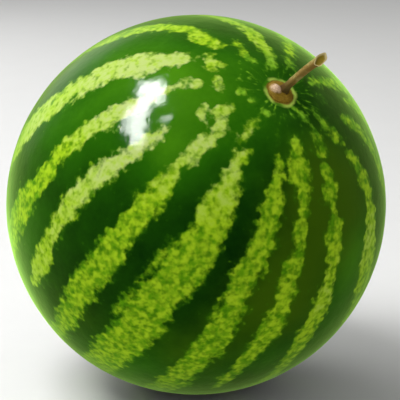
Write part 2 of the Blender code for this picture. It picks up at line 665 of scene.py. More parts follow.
# Painted light as well as the skin's own colour: these washes make the dark bands lighter towards the upper
# left under the lamps and near the lower and right rims, as a painted rim glow.
SHADES_AND_PAINTED_LIGHT = (
    Wash(25, -45, 44, 0.68),
    Wash(48, -74, 44, 0.50),
    Wash(30, -63, 12, 0.30),
    Wash(72, -57, 22, 0.25),
    Wash(12, -110, 26, 0.2),
    Wash(60, -48, 28, 0.25),
    Wash(40, -22, 20, 0.4),
    Wash(66, -21, 24, 0.08),
    Wash(88, -36, 26, 0.25),
    Wash(50, 74, 24, 0.65),
    Wash(62, 72, 22, 0.2),
    Wash(16, 15, 16, 0.08),
    Wash(18, 64, 16, 0.15),
    Wash(26, 82, 20, 0.12),
    Wash(106, -35, 34, 0.3),
    Wash(108, 10, 30, 0.25),
    Wash(75, 72, 40, 0.25),
    Wash(85, 48, 26, 0.25),
    Wash(100, 20, 45, 0.25),
)

OLIVES = (
    Wash(33, 68, 40, 0.95),
    Wash(60, 44, 38, 0.8),
    Wash(85, 25, 30, 0.5),
    Wash(95, -8, 28, 0.4),
)


@dataclass(frozen=True)
class SkinPattern:
    """Where the rind is light and where it is dark, painted on its mesh as smooth layers.

    Attributes:
        axis: The fruit's axis.
        stripes: The light stripes.
        flecks: The small light patches.
        tones_and_painted_light: Where the light stripes are paler, from their own colour and from painted
            light under the lamps and near the rims.
        shades_and_painted_light: Where the dark skin is lighter or darker, from its own colour and from
            painted light under the lamps and near the rims.
        olives: Where the dark skin turns olive.
    """

    axis: FruitAxis
    stripes: tuple[Stripe, ...] = STRIPES
    flecks: tuple[Fleck, ...] = FLECKS
    tones_and_painted_light: tuple[Wash, ...] = TONES_AND_PAINTED_LIGHT
    shades_and_painted_light: tuple[Wash, ...] = SHADES_AND_PAINTED_LIGHT
    olives: tuple[Wash, ...] = OLIVES

    def along_course(self, knots: np.ndarray, values: np.ndarray, where: np.ndarray) -> np.ndarray:
        """Reads a smooth curve through a stripe's points.

        Args:
            knots: The points' colatitudes.
            values: The value at each point.
            where: The colatitudes to read at.

        Returns:
            The value at each of them, held at the ends.
        """
        slopes = np.gradient(values, knots)
        held = np.clip(where, knots[0], knots[-1])
        step = np.clip(np.searchsorted(knots, held, side="right") - 1, 0, len(knots) - 2)
        gap = knots[step + 1] - knots[step]
        t = (held - knots[step]) / gap
        start = (1.0 + 2.0 * t) * (1.0 - t) ** 2 * values[step] + t * (1.0 - t) ** 2 * gap * slopes[step]
        end = t**2 * (3.0 - 2.0 * t) * values[step + 1] - t**2 * (1.0 - t) * gap * slopes[step + 1]
        return start + end

    def across_mm(self, colatitude: np.ndarray, degrees: np.ndarray) -> np.ndarray:
        """A difference in longitude, in degrees, as a signed distance across the stripes in millimetres."""
        turned = (degrees + 180.0) % 360.0 - 180.0
        return np.radians(turned) * np.sin(np.radians(colatitude)) * self.axis.equator_radius / MM

    def along_mm(self, degrees: np.ndarray) -> np.ndarray:
        """Turns a difference in colatitude into a distance along the stripes, in millimetres."""
        return np.radians(degrees) * self.axis.equator_radius / MM

    def stripe_depth(self, stripe: Stripe, colatitude: np.ndarray, longitude: np.ndarray) -> np.ndarray:
        """How far inside a stripe each point is.

        Args:
            stripe: The stripe.
            colatitude: The points' colatitudes.
            longitude: The points' longitudes.

        Returns:
            The depth in millimetres, negative outside and at most the stripe's firmness.
        """
        course = np.array(stripe.course, dtype=float)
        middle = self.along_course(course[:, 0], course[:, 1], colatitude)
        half_width = self.along_course(course[:, 0], course[:, 2], colatitude)
        beside = half_width - np.abs(self.across_mm(colatitude, longitude - middle))
        past_end = np.maximum(course[0, 0] - colatitude, colatitude - course[-1, 0])
        return np.minimum(beside - np.maximum(self.along_mm(past_end), 0.0), stripe.firmness)

    def fleck_depth(self, fleck: Fleck, colatitude: np.ndarray, longitude: np.ndarray) -> np.ndarray:
        """How far inside a fleck each point is.

        Args:
            fleck: The fleck.
            colatitude: The points' colatitudes.
            longitude: The points' longitudes.

        Returns:
            The depth in millimetres, negative outside.
        """
        across = self.across_mm(colatitude, longitude - fleck.longitude) / fleck.across
        along = self.along_mm(colatitude - fleck.colatitude) / fleck.along
        depth = (1.0 - np.hypot(across, along)) * min(fleck.across, fleck.along)
        return np.minimum(depth, fleck.firmness)

    def washed(self, washes: tuple[Wash, ...], places: np.ndarray) -> np.ndarray:
        """Adds up the washes.

        Args:
            washes: The washes.
            places: The points on the unit ball about the axis.

        Returns:
            The sum at each point.
        """
        total = np.zeros(len(places))
        for wash in washes:
            tilt = math.radians(wash.colatitude)
            turn = self.axis.turn(wash.longitude)
            middle = (math.sin(tilt) * math.cos(turn), math.sin(tilt) * math.sin(turn), math.cos(tilt))
            away = self.along_mm(np.degrees(np.arccos(np.clip(places @ np.array(middle), -1.0, 1.0))))
            total += wash.lift * np.exp(-((away / wash.reach) ** 2))
        return total

    def paint(self, mesh: bpy.types.Mesh) -> None:
        """Writes every layer on the rind's mesh.

        Args:
            mesh: The rind's mesh, which carries each point's place on the unit ball about the axis.
        """
        count = len(mesh.vertices)
        units = np.empty(count * 3, dtype=np.float32)
        mesh.attributes[UNIT_PLACE].data.foreach_get("vector", units)
        units = units.reshape(-1, 3).astype(float)
        colatitude = np.degrees(np.arccos(np.clip(units[:, 2], -1.0, 1.0)))
        longitude = np.degrees(np.arctan2(units[:, 1], units[:, 0]) - self.axis.zero_meridian)
        depth = np.full(count, BARE_DEPTH)
        tone = self.washed(self.tones_and_painted_light, units)
        for stripe in self.stripes:
            inside = self.stripe_depth(stripe, colatitude, longitude)
            tone += np.clip(inside / 3.0 + 1.0, 0.0, 1.0) * stripe.tone
            depth = np.maximum(depth, inside)
        for fleck in self.flecks:
            depth = np.maximum(depth, self.fleck_depth(fleck, colatitude, longitude))
        down = self.axis.matrix.to_3x3().inverted() @ Vector((0.0, 0.0, -1.0))
        from_down = np.degrees(np.arccos(np.clip(units @ np.array(down), -1.0, 1.0)))
        layers = {
            Layer.STRIPE: depth,
            Layer.TONE: tone,
            Layer.SHADE: self.washed(self.shades_and_painted_light, units),
            Layer.OLIVE: self.washed(self.olives, units),
            Layer.STEM_REACH: self.along_mm(colatitude),
            Layer.BLOSSOM_REACH: self.along_mm(180.0 - colatitude),
            Layer.GROUND_REACH: self.along_mm(from_down),
        }
        for layer, values in layers.items():
            made = mesh.attributes.new(layer.value, "FLOAT", "POINT")
            made.data.foreach_set("value", values.astype(np.float32))


@dataclass(frozen=True)
class RindFinish:
    """Waxy rind: dark green bands and ragged light stripes.

    Attributes:
        dark: The darkest skin of the bands.
        deep: Their common skin.
        green: The brighter skin of the bands, also laid as painted light where the shade layer makes them
            lighter under the lamps and near the rims.
        olive: The skin of the bands where it turns olive.
        fringe: The skin next to a stripe's edge, in its gaps and in patches of the ring.
        sprout: The fresh green of the stripes near the stem.
        leaf: The green of a dull stripe.
        lime: The yellow-green of a brighter stripe.
        pale: The palest skin of a bright stripe, also laid as painted light near the lamps and as a painted
            sheen at the lower left rim.
        ring: The skin round the stem's seat and under the blossom scar.
        cork: The skin under the stem's pad.
        cream: The spot that the fruit grew on.
        pad_reach: Radius of the corky seat, in millimetres.
        ring_reach: Radius of the pale ring round it, in millimetres.
        ray_reach: How far from the stem the fine light rays go, in millimetres.
        scar_reach: Radius of the blossom scar, in millimetres.
        ground_reach: Radius of the cream spot, in millimetres.
        sway: Strength of the slow sway of a stripe's edges, in millimetres.
        lobes: Strength of the round lobes along its edges, in millimetres.
        crumbs: Strength of the finest raggedness, in millimetres.
        edge_start: The ragged depth at which a stripe starts to show, in millimetres.
        edge_end: The ragged depth at which it shows in full, in millimetres.
        sheen_tint: The colour of the haze near the rim.
        sheen_roughness: How far that haze spreads inwards from the rim.
        specular: How strong reflections are.
        relief_height: What a relief of 1 stands for, in millimetres.
    """

    dark: Colour = (0.0012, 0.018, 0.0008, 1.0)
    deep: Colour = (0.014, 0.090, 0.0014, 1.0)
    green: Colour = (0.050, 0.185, 0.0035, 1.0)
    olive: Colour = (0.034, 0.085, 0.0014, 1.0)
    fringe: Colour = (0.030, 0.135, 0.0020, 1.0)
    sprout: Colour = (0.170, 0.400, 0.020, 1.0)
    leaf: Colour = (0.088, 0.255, 0.0030, 1.0)
    lime: Colour = (0.315, 0.500, 0.012, 1.0)
    pale: Colour = (0.400, 0.500, 0.150, 1.0)
    ring: Colour = (0.300, 0.430, 0.060, 1.0)
    cork: Colour = (0.150, 0.085, 0.012, 1.0)
    cream: Colour = (0.560, 0.470, 0.170, 1.0)
    pad_reach: float = 9.2
    ring_reach: float = 10.9
    ray_reach: float = 56.0
    scar_reach: float = 4.0
    ground_reach: float = 30.0
    sway: float = 7.0
    lobes: float = 7.0
    crumbs: float = 5.6
    edge_start: float = -1.6
    edge_end: float = 2.4
    sheen_tint: Colour = (0.56, 1.0, 0.20, 1.0)
    sheen_roughness: float = 0.31
    specular: float = 0.05
    relief_height: float = 0.25

    def rays(self, sheet: SurfaceSheet) -> Term:
        """Makes fine light rays that run out from the stem.

        Args:
            sheet: The material's sheet.

        Returns:
            How far inside a ray it is, in millimetres.
        """
        x, y, _ = sheet.parts(sheet.attribute(UNIT_PLACE, "Vector"))
        reach = sheet.layer(Layer.STEM_REACH)
        turn = sheet.vector("NORMALIZE", sheet.joined(x, y, 0.0))
        spread = sheet.vector("ADD", sheet.scaled(turn, 6.5), sheet.joined(0.0, 0.0, reach / 14.0))
        streaks = sheet.noise(spread, size=1.0, detail=2.0, roughness=0.55, seed=21) - 0.615
        fade = sheet.rise(reach, self.ray_reach, self.ring_reach * 1.5)
        return streaks * 13.0 * (0.35 + fade * 0.65) - (1.0 - fade) * 4.0 - 1.0

    def ragged_depth(self, sheet: SurfaceSheet) -> Term:
        """Breaks the smooth stripes up into ragged ones.

        Args:
            sheet: The material's sheet.

        Returns:
            How far inside a light stripe it is, in millimetres.
        """
        place = sheet.place
        sway = (sheet.noise(place, size=13.0, detail=2.0, roughness=0.5, seed=1) - 0.5) * self.sway
        lobes = (0.46 - sheet.cells(place, size=5.2, feature="SMOOTH_F1")) * self.lobes
        crumbs = (sheet.noise(place, size=2.8, detail=1.0, roughness=0.5, seed=2) - 0.5) * self.crumbs
        away_from_stem = sheet.rise(sheet.layer(Layer.STEM_REACH), 15.0, 60.0)
        rough = (sway + lobes) * (0.55 + away_from_stem * 0.55) + crumbs
        smooth = sheet.math("SMOOTH_MAX", sheet.layer(Layer.STRIPE), self.rays(sheet), 1.5)
        return smooth + rough

    def dark_skin(self, sheet: SurfaceSheet, depth: Term) -> Term:
        """Colours the dark bands.

        Args:
            sheet: The material's sheet.
            depth: The ragged depth inside a stripe.

        Returns:
            The colour.
        """
        clouds = sheet.noise(sheet.place, size=18.0, detail=3.0, roughness=0.55, seed=3) - 0.5
        grain = sheet.noise(sheet.place, size=3.0, detail=2.0, roughness=0.6, seed=4) - 0.5
        # Painted light: the shade layer also makes the bands lighter under the lamps and near the rims.
        shade = sheet.layer(Layer.SHADE) + clouds * 0.35 + grain * 0.12 + 0.08
        common = sheet.blend(sheet.clamped(shade * 2.0, 0.0, 1.0), self.dark, self.deep)
        bright = sheet.clamped(shade * 2.0 - 1.0, 0.0, 1.4)
        base = sheet.blend(bright, common, self.green)
        in_olive = sheet.rise(sheet.layer(Layer.OLIVE) + clouds * 0.4, 0.1, 0.9)
        turned = sheet.blend(in_olive, base, self.olive)
        near_edge = sheet.rise(depth + clouds * 3.0, -3.2, 0.0) * 0.45
        return sheet.blend(near_edge, turned, self.fringe)

    def light_skin(self, sheet: SurfaceSheet, depth: Term) -> Term:
        """Colours the light stripes.

        Args:
            sheet: The material's sheet.
            depth: The ragged depth inside a stripe.

        Returns:
            The colour.
        """
        clouds = sheet.noise(sheet.place, size=9.0, detail=2.0, roughness=0.6, seed=5) - 0.5
        lumps = sheet.noise(sheet.place, size=4.4, detail=1.5, roughness=0.5, distortion=0.2, seed=6) - 0.5
        # Painted light: the tone layer also makes the stripes paler under the lamps and at the lower left
        # rim.
        even = sheet.layer(Layer.TONE) + clouds * 0.5 + 0.07
        tone = even + lumps * 2.5 + sheet.rise(depth, 0.5, 4.5) * 0.16
        base = sheet.blend(sheet.rise(tone, -0.35, 0.75), self.leaf, self.lime)
        bright = sheet.blend(sheet.rise(even + lumps * 0.8, 0.38, 1.05), base, self.pale)
        young = (1.0 - sheet.rise(sheet.layer(Layer.STEM_REACH), 22.0, 42.0)) * 0.8
        holes = sheet.noise(sheet.place, size=3.6, detail=1.0, roughness=0.5, seed=18)
        gaps = 1.0 - sheet.rise(holes, 0.28, 0.60)
        gap_skin = sheet.blend(sheet.rise(tone, 0.25, 1.3), self.fringe, self.lime)
        return sheet.blend(gaps * 0.7, sheet.blend(young, bright, self.sprout), gap_skin)

    def ends(self, sheet: SurfaceSheet, colour: Term) -> Term:
        """Adds the ring round the stem's seat, the blossom scar and the cream spot underneath.

        Args:
            sheet: The material's sheet.
            colour: The striped skin.

        Returns:
            The colour of the whole rind.
        """
        wobble = (sheet.noise(sheet.place, size=6.0, detail=2.0, seed=7) - 0.5) * 3.0
        stem = sheet.layer(Layer.STEM_REACH) + wobble
        in_ring = 1.0 - sheet.rise(stem, self.ring_reach - 0.8, self.ring_reach + 1.4)
        in_pad = 1.0 - sheet.rise(stem, self.pad_reach - 1.0, self.pad_reach + 1.0)
        patchy = sheet.rise(sheet.noise(sheet.place, size=9.0, detail=1.0, seed=17), 0.28, 0.55)
        ring_skin = sheet.blend(patchy, self.fringe, self.ring)
        ringed = sheet.blend(in_pad, sheet.blend(in_ring, colour, ring_skin), self.cork)
        scar = sheet.layer(Layer.BLOSSOM_REACH) + wobble * 0.4
        in_scar = 1.0 - sheet.rise(scar, self.scar_reach, self.scar_reach + 3.0)
        scarred = sheet.blend(in_scar, ringed, self.ring)
        drift = (sheet.noise(sheet.place, size=14.0, detail=4.0, roughness=0.6, seed=8) - 0.5) * 45.0
        ground = sheet.layer(Layer.GROUND_REACH) + drift
        in_spot = 1.0 - sheet.rise(ground, self.ground_reach * 0.6, self.ground_reach * 1.2)
        return sheet.blend(in_spot * 0.9, scarred, self.cream)

    def material(self) -> bpy.types.Material:
        """Makes the rind's material.

        Returns:
            The material.
        """
        sheet = SurfaceSheet("waxy_rind")
        depth = self.ragged_depth(sheet)
        mask = sheet.rise(depth, self.edge_start, self.edge_end)
        striped = sheet.blend(mask, self.dark_skin(sheet, depth), self.light_skin(sheet, depth))
        colour = self.ends(sheet, striped)
        wax = sheet.noise(sheet.place, size=7.0, detail=4.0, roughness=0.6, seed=9)
        roughness = 0.04 + wax * 0.07 + mask * 0.02
        pores = sheet.noise(sheet.place, size=1.2, detail=2.0, roughness=0.5, seed=10)
        swell = sheet.noise(sheet.place, size=7.0, detail=2.0, roughness=0.5, seed=11)
        relief = pores * 0.1 + swell * 0.7 + mask * 0.1
        sheet.feed(sheet.shader, Specular_IOR_Level=self.specular, Sheen_Weight=1.0)
        sheet.feed(sheet.shader, Sheen_Roughness=self.sheen_roughness, Sheen_Tint=self.sheen_tint)
        return sheet.dress(colour, roughness, relief, self.relief_height)


@dataclass(frozen=True)
class StemFinish:
    """Dry fibrous stem: olive skin blotched with withered brown, with painted shade darkening it towards
    the foot.

    Attributes:
        skin: The pale olive skin.
        withered: The brown of dry, withered skin.
        shadow: The dark brown of the painted shade towards the foot.
        edge: The pale edge of the cut.
        heart: The moist tissue inside the cut.
    """

    skin: Colour = (0.280, 0.245, 0.075, 1.0)
    withered: Colour = (0.190, 0.115, 0.026, 1.0)
    shadow: Colour = (0.050, 0.024, 0.005, 1.0)
    edge: Colour = (0.450, 0.370, 0.170, 1.0)
    heart: Colour = (0.200, 0.145, 0.014, 1.0)

    def material(self) -> bpy.types.Material:
        """Makes the stem's material.

        Returns:
            The material.
        """
        sheet = SurfaceSheet("dry_stem")
        share = sheet.attribute(STEM_SHARE)
        cut = sheet.attribute(STEM_CUT)
        blotches = sheet.noise(sheet.place, size=5.0, detail=2.0, roughness=0.5, seed=12)
        fibres = sheet.noise(sheet.place, size=0.9, detail=3.0, roughness=0.7, distortion=1.2, seed=13)
        worn = sheet.rise(blotches + (fibres - 0.5) * 0.25, 0.28, 0.60)
        base = sheet.blend(worn, self.skin, self.withered)
        # Painted shade: the stem is darkened towards its foot, where it meets the pad.
        low = 1.0 - sheet.rise(share + (blotches - 0.5) * 0.15, 0.02, 0.42)
        shaded_to_foot = sheet.blend(low * 0.85, base, self.shadow)
        lipped = sheet.blend(sheet.rise(share, 0.98, 0.995), shaded_to_foot, self.edge)
        colour = sheet.blend(sheet.rise(cut + (fibres - 0.5) * 0.1, 0.10, 0.35), lipped, self.heart)
        sheet.feed(sheet.shader, Specular_IOR_Level=DRY_SPECULAR)
        return sheet.dress(colour, roughness=0.62 + fibres * 0.2, relief=fibres, height=0.15)


@dataclass(frozen=True)
class CorkFinish:
    """Corky tissue: brown cork with a pinkish tan swelling whose paleness is partly its own colour and
    partly a painted highlight.

    Attributes:
        name: The material's name.
        tan: The pinkish tan of the swelling, partly its own colour and partly a painted highlight.
        brown: The cork away from the swelling.
        dark: The cracks.
    """

    name: str = "cork"
    tan: Colour = (0.680, 0.480, 0.320, 1.0)
    brown: Colour = (0.225, 0.140, 0.012, 1.0)
    dark: Colour = (0.060, 0.028, 0.008, 1.0)

    def material(self) -> bpy.types.Material:
        """Makes the cork's material.

        Returns:
            The material.
        """
        sheet = SurfaceSheet(self.name)
        raised = sheet.attribute(SWELLING)
        blotches = sheet.noise(sheet.place, size=2.2, detail=3.0, roughness=0.6, seed=14)
        # Painted highlight, in part: the swelling takes the pale tan, which stands partly for the cork's
        # colour and partly for light on it.
        base = sheet.blend(sheet.rise(raised + (blotches - 0.5) * 0.5, 0.25, 0.8), self.brown, self.tan)
        from_crack = sheet.cells(sheet.place, size=1.3, feature="DISTANCE_TO_EDGE", seed=5.0)
        cracks = 1.0 - sheet.rise(from_crack, 0.0, 0.1)
        colour = sheet.blend(cracks * 0.45, base, self.dark)
        sheet.feed(sheet.shader, Specular_IOR_Level=DRY_SPECULAR)
        relief = blotches + (1.0 - cracks) * 0.3
        return sheet.dress(colour, roughness=0.7 + blotches * 0.15, relief=relief, height=0.3)


@dataclass(frozen=True)
class FloorFinish:
    """A matt surface with a faint grain, for the floor.

    Attributes:
        colour: Its colour.
        darkest: The darkest grain as a share of the colour.
    """

    colour: Colour
    darkest: float = 0.97

    def material(self) -> bpy.types.Material:
        """Makes the material.

        Returns:
            The material.
        """
        sheet = SurfaceSheet("pale_floor")
        grain = sheet.noise(sheet.place, size=40.0, detail=3.0, roughness=0.6, seed=15)
        darker = tuple(part * self.darkest for part in self.colour[:3]) + (1.0,)
        colour = sheet.blend(grain, darker, self.colour)
        return sheet.dress(colour, roughness=0.85, relief=grain, height=0.05)


def piece(name: str, mesh: bpy.types.Mesh) -> bpy.types.Object:
    """Puts a mesh in the scene as a piece of the watermelon.

    Args:
        name: The piece's name.
        mesh: Its mesh, already in place.

    Returns:
        The object, riding on the only body.
    """
    made = bpy.data.objects.new(name, mesh)
    bpy.context.scene.collection.objects.link(made)
    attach(made, "root")
    LOG.info("%s: %d faces", name, len(mesh.polygons))
    return made


@dataclass(frozen=True)
class Rind:
    """The whole outside of the fruit.

    Attributes:
        axis: The fruit's axis.
        seat_radius: Radius of the flat under the stem's pad.
        stem_hollow_radius: Where the hollow round the stem starts.
        stem_hollow_depth: How deep that hollow is.
        blossom_hollow_radius: Where the hollow at the blossom end starts.
        blossom_hollow_depth: How deep that hollow is.
        lump_height: Height of the slight wide unevenness of the body.
        dimple_height: Height of the finer unevenness, which makes reflections wavy.
        spot_softness: How softly the flat spot runs into the round body.
        segments: Faces round the axis.
        rings: Faces from end to end.
    """

    axis: FruitAxis
    seat_radius: float = 0.009
    stem_hollow_radius: float = 0.026
    stem_hollow_depth: float = 0.0016
    blossom_hollow_radius: float = 0.012
    blossom_hollow_depth: float = 0.0015
    lump_height: float = 0.0012
    dimple_height: float = 0.0003
    spot_softness: float = 0.0015
    segments: int = 400
    rings: int = 200

    def dip(self, sheet: ShapeSheet, radius: Term, inner: Amount, outer: Term, depth: Term) -> Term:
        """How far a hollow lowers the skin, from all of it at the inner radius to none at the outer one."""
        return (1.0 - sheet.rise(radius, inner, outer)) * depth

    def shape(self, material: bpy.types.Material) -> bpy.types.Mesh:
        """Makes the rind: a ball drawn to the fruit's radii, hollowed at both ends and flattened below.

        Args:
            material: The rind's material.

        Returns:
            The mesh, in place.
        """
        sheet = ShapeSheet("rind_shape")
        across, along, lean = sheet.sizes(self.axis, "equator_radius", "pole_radius", "lean")
        seat, softness = sheet.sizes(self, "seat_radius", "spot_softness")
        stem_outer, stem_depth = sheet.sizes(self, "stem_hollow_radius", "stem_hollow_depth")
        blossom_outer, blossom_depth = sheet.sizes(self, "blossom_hollow_radius", "blossom_hollow_depth")
        lumps, dimples = sheet.sizes(self, "lump_height", "dimple_height")
        centre = sheet.size("Centre", tuple(self.axis.centre), "Vector")
        finish = sheet.size("Material", material, "Material")

        ball = sheet.node("GeometryNodeMeshUVSphere")
        sheet.feed(ball, Segments=self.segments, Rings=self.rings, Radius=1.0)
        unit = sheet.position()
        kept = sheet.stored(sheet.out(ball, "Mesh"), UNIT_PLACE, unit, "FLOAT_VECTOR")
        x, y, z = sheet.parts(unit)
        radius = sheet.from_axis(x, y) * across
        flat_radius = sheet.math("MAXIMUM", radius, seat) / across
        cap = sheet.math("SQRT", sheet.math("MAXIMUM", 1.0 - flat_radius * flat_radius, 0.0))
        top = sheet.math("MINIMUM", z, cap) * along
        dip = self.dip(sheet, radius, seat, stem_outer, stem_depth) * sheet.rise(z, 0.0, 0.5)
        rise = self.dip(sheet, radius, 0.0, blossom_outer, blossom_depth) * sheet.rise(z, 0.0, -0.5)
        uneven = (sheet.noise(unit, size=0.9, detail=1.0, seed=1) - 0.5) * lumps
        wavy = (sheet.noise(unit, size=0.16, detail=1.0, seed=2) - 0.5) * dimples
        away_from_seat = sheet.rise(radius, seat, stem_outer)
        swell = 1.0 + (uneven + wavy) * away_from_seat / across
        body = sheet.joined(x * across * swell, y * across * swell, (top - dip + rise) * swell)
        round_mesh = sheet.moved(kept, body)
        lying = sheet.node("GeometryNodeTransform")
        sheet.feed(lying, Geometry=round_mesh, Translation=centre, Rotation=sheet.joined(lean, 0.0, 0.0))
        x, y, z = sheet.parts(sheet.position())
        rested = sheet.joined(x, y, sheet.math("SMOOTH_MAX", z, 0.0, softness))
        sheet.finished(sheet.moved(sheet.out(lying), rested), finish)
        return sheet.mesh("rind")

    def build(self) -> None:
        """Builds and dresses the rind, which stands for the fruit's solid."""
        mesh = self.shape(RindFinish().material())
        SkinPattern(self.axis).paint(mesh)
        rind = piece("rind", mesh)
        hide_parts("fruit")


@dataclass(frozen=True)
class CorkPad:
    """A lumpy corky disc about the axis, such as the stem's seat or the blossom scar.

    Attributes:
        name: The piece's name.
        radius: Its radius.
        thickness: Its height above what it lies on.
        lump_height: Height of its lumps.
        knob_longitude: Which side its swelling is on, in degrees.
        knob_offset: How far the swelling is from the axis.
        knob_radius: Radius of the swelling.
        knob_height: Height of the swelling.
        sides: Faces round it.
        circles: Rings of faces from rim to middle.
    """

    name: str
    radius: float
    thickness: float
    lump_height: float
    knob_longitude: float = 0.0
    knob_offset: float = 0.0
    knob_radius: float = 0.001
    knob_height: float = 0.0
    sides: int = 96
    circles: int = 28

    def shape(self, axis: FruitAxis, finish: CorkFinish) -> bpy.types.Mesh:
        """Makes the disc, flat below and domed above, about an upright axis.

        Args:
            axis: The fruit's axis, which says where longitude 0 is.
            finish: Its finish.

        Returns:
            The mesh, with the origin in the middle of its underside.
        """
        sheet = ShapeSheet(self.name + "_shape")
        radius, thickness, lumps = sheet.sizes(self, "radius", "thickness", "lump_height")
        knob_radius, knob_height = sheet.sizes(self, "knob_radius", "knob_height")
        turn = axis.turn(self.knob_longitude)
        knob = (self.knob_offset * math.cos(turn), self.knob_offset * math.sin(turn), 0.0)
        knob_place = sheet.size("Knob place", knob, "Vector")
        material = sheet.size("Material", finish.material(), "Material")

        disc = sheet.node("GeometryNodeMeshCone", fill_type="TRIANGLE_FAN")
        sheet.feed(disc, Vertices=self.sides, Side_Segments=self.circles, Fill_Segments=1)
        sheet.feed(disc, Radius_Top=0.0, Radius_Bottom=1.0, Depth=1.0)
        x, y, z = sheet.parts(sheet.position())
        reach = sheet.from_axis(x, y)
        on_top = sheet.rise(z, 0.0, 0.00001)
        place = sheet.joined(x * radius, y * radius, 0.0)
        in_mm = sheet.scaled(place, 1.0 / MM)
        edge = 1.0 + (sheet.noise(in_mm, size=3.0, detail=2.0, seed=4) - 0.5) * 0.22
        dome = (1.0 - reach**6.0) * thickness
        uneven = sheet.noise(in_mm, size=2.0, detail=3.0, roughness=0.6, seed=5) - 0.35
        bumps = uneven * lumps * (1.0 - reach**8.0)
        away = sheet.vector("DISTANCE", place, knob_place)
        near = sheet.math("EXPONENT", (away / knob_radius) ** 2.0 * -1.0)
        height = (dome + bumps + near * knob_height) * on_top
        marked = sheet.stored(sheet.out(disc, "Mesh"), SWELLING, near * on_top)
        top = sheet.joined(x * radius * edge, y * radius * edge, height)
        sheet.finished(sheet.moved(marked, top), material)
        return sheet.mesh(self.name)

    def build(self, axis: FruitAxis, place: Matrix, finish: CorkFinish) -> None:
        """Builds and dresses the disc.

        Args:
            axis: The fruit's axis.
            place: Where the disc goes about the fruit's upright axis.
            finish: Its finish.
        """
        mesh = self.shape(axis, finish)
        mesh.transform(axis.matrix @ place)
        piece(self.name, mesh)


@dataclass(frozen=True)
class Stem:
    """The cut stem: a ridged, bent shaft with a flared foot and an oblique, hollowed tip.

    Attributes:
        axis: The fruit's axis.
        length: Its height above the seat, along the fruit's axis.
        radius: The shaft's radius.
        foot_radius: Its radius on the pad.
        foot_height: How far up the flare of the foot reaches.
        tip_radius: Its radius at the cut.
        tilt: How far it leans from the fruit's axis.
        tilt_longitude: Which way it leans, in degrees.
        foot_offset: How far its foot stands from the fruit's axis.
        foot_longitude: Which side its foot stands on, in degrees.
        ease_height: How far up it takes to start leaning.
        tip_bend: How far the tip bends further over.
        ridges: Number of ridges round the shaft.
        ridge_depth: Height of the ridges as a share of the radius.
        cut_slope: Slope of the cut across the tip.
        cut_longitude: Which way the cut faces, in degrees.
        scoop: How deep the cut face is hollowed.
        sides: Faces round it.
        steps: Faces along it.
        circles: Rings of faces across the cut.
    """

    axis: FruitAxis
    length: float = 0.0390
    radius: float = 0.0024
    foot_radius: float = 0.0044
    foot_height: float = 0.008
    tip_radius: float = 0.0028
    tilt: float = math.radians(9.0)
    tilt_longitude: float = 72.0
    foot_offset: float = 0.003
    foot_longitude: float = 163.0
    ease_height: float = 0.003
    tip_bend: float = 0.0015
    ridges: int = 5
    ridge_depth: float = 0.05
    cut_slope: float = 1.35
    cut_longitude: float = -5.0
    scoop: float = 0.0022
    sides: int = 64
    steps: int = 150
    circles: int = 12

    def shape(self, finish: StemFinish) -> bpy.types.Mesh:
        """Makes the stem about an upright axis, leaning towards +X.

        Args:
            finish: Its finish.

        Returns:
            The mesh, with the origin in the middle of its foot.
        """
        sheet = ShapeSheet("stem_shape")
        length, shaft = sheet.sizes(self, "length", "radius")
        foot, foot_height = sheet.sizes(self, "foot_radius", "foot_height")
        tip, ease, bend = sheet.sizes(self, "tip_radius", "ease_height", "tip_bend")
        ridge_depth, cut_slope, scoop = sheet.sizes(self, "ridge_depth", "cut_slope", "scoop")
        slope = sheet.size("Tilt slope", math.tan(self.tilt))
        ridges = sheet.size("Ridges", self.ridges, "Int")
        material = sheet.size("Material", finish.material(), "Material")

        tube = sheet.node("GeometryNodeMeshCylinder", fill_type="TRIANGLE_FAN")
        sheet.feed(tube, Vertices=self.sides, Side_Segments=self.steps, Fill_Segments=self.circles)
        sheet.feed(tube, Radius=1.0, Depth=1.0)
        x, y, z = sheet.parts(sheet.position())
        share = z + 0.5
        reach = sheet.from_axis(x, y)
        angle = sheet.math("ARCTAN2", y, x)
        height = share * length
        flare = sheet.math("MAXIMUM", 1.0 - height / foot_height, 0.0) ** 2.5
        trunk = shaft + (foot - shaft) * flare + (tip - shaft) * share**7.0
        wave = sheet.math("COSINE", angle * ridges + share * 2.5)
        in_mm = sheet.joined(x * 2.6, y * 2.6, share * 45.0)
        gnarls = (sheet.noise(in_mm, size=5.0, detail=2.0, roughness=0.5, seed=6) - 0.5) * 0.22
        girth = trunk * (1.0 + wave * ridge_depth + gnarls)
        facing = self.axis.turn(self.cut_longitude) - self.axis.turn(self.tilt_longitude)
        toward_cut = x * math.cos(facing) + y * math.sin(facing)
        near_tip = sheet.rise(share, 0.8, 1.0)
        on_cut = sheet.rise(share, 0.9999, 1.0)
        cut = toward_cut * girth * near_tip * cut_slope * -1.0
        hollow = (1.0 - reach * reach) * scoop * on_cut
        leaning = height - ease * (1.0 - sheet.math("EXPONENT", height / ease * -1.0))
        sideways = leaning * slope + bend * share**4.0
        body = sheet.joined(x * girth + sideways, y * girth, height + cut - hollow)
        marked = sheet.stored(sheet.out(tube, "Mesh"), STEM_SHARE, share)
        marked = sheet.stored(marked, STEM_CUT, (1.0 - reach) * on_cut)
        sheet.finished(sheet.moved(marked, body), material)
        return sheet.mesh("stem")

    def build(self, seat_height: float) -> None:
        """Builds and dresses the stem, which stands for the stem's solid.

        Args:
            seat_height: How far along the fruit's axis its foot stands.
        """
        mesh = self.shape(StemFinish())
        turn = self.axis.turn(self.tilt_longitude)
        side = self.axis.turn(self.foot_longitude)
        foot = Vector((self.foot_offset * math.cos(side), self.foot_offset * math.sin(side), seat_height))
        place = Matrix.Translation(foot) @ Matrix.Rotation(turn, 4, "Z")
        mesh.transform(self.axis.matrix @ place)
        stem = piece("cut_stem", mesh)
        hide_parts("stem")


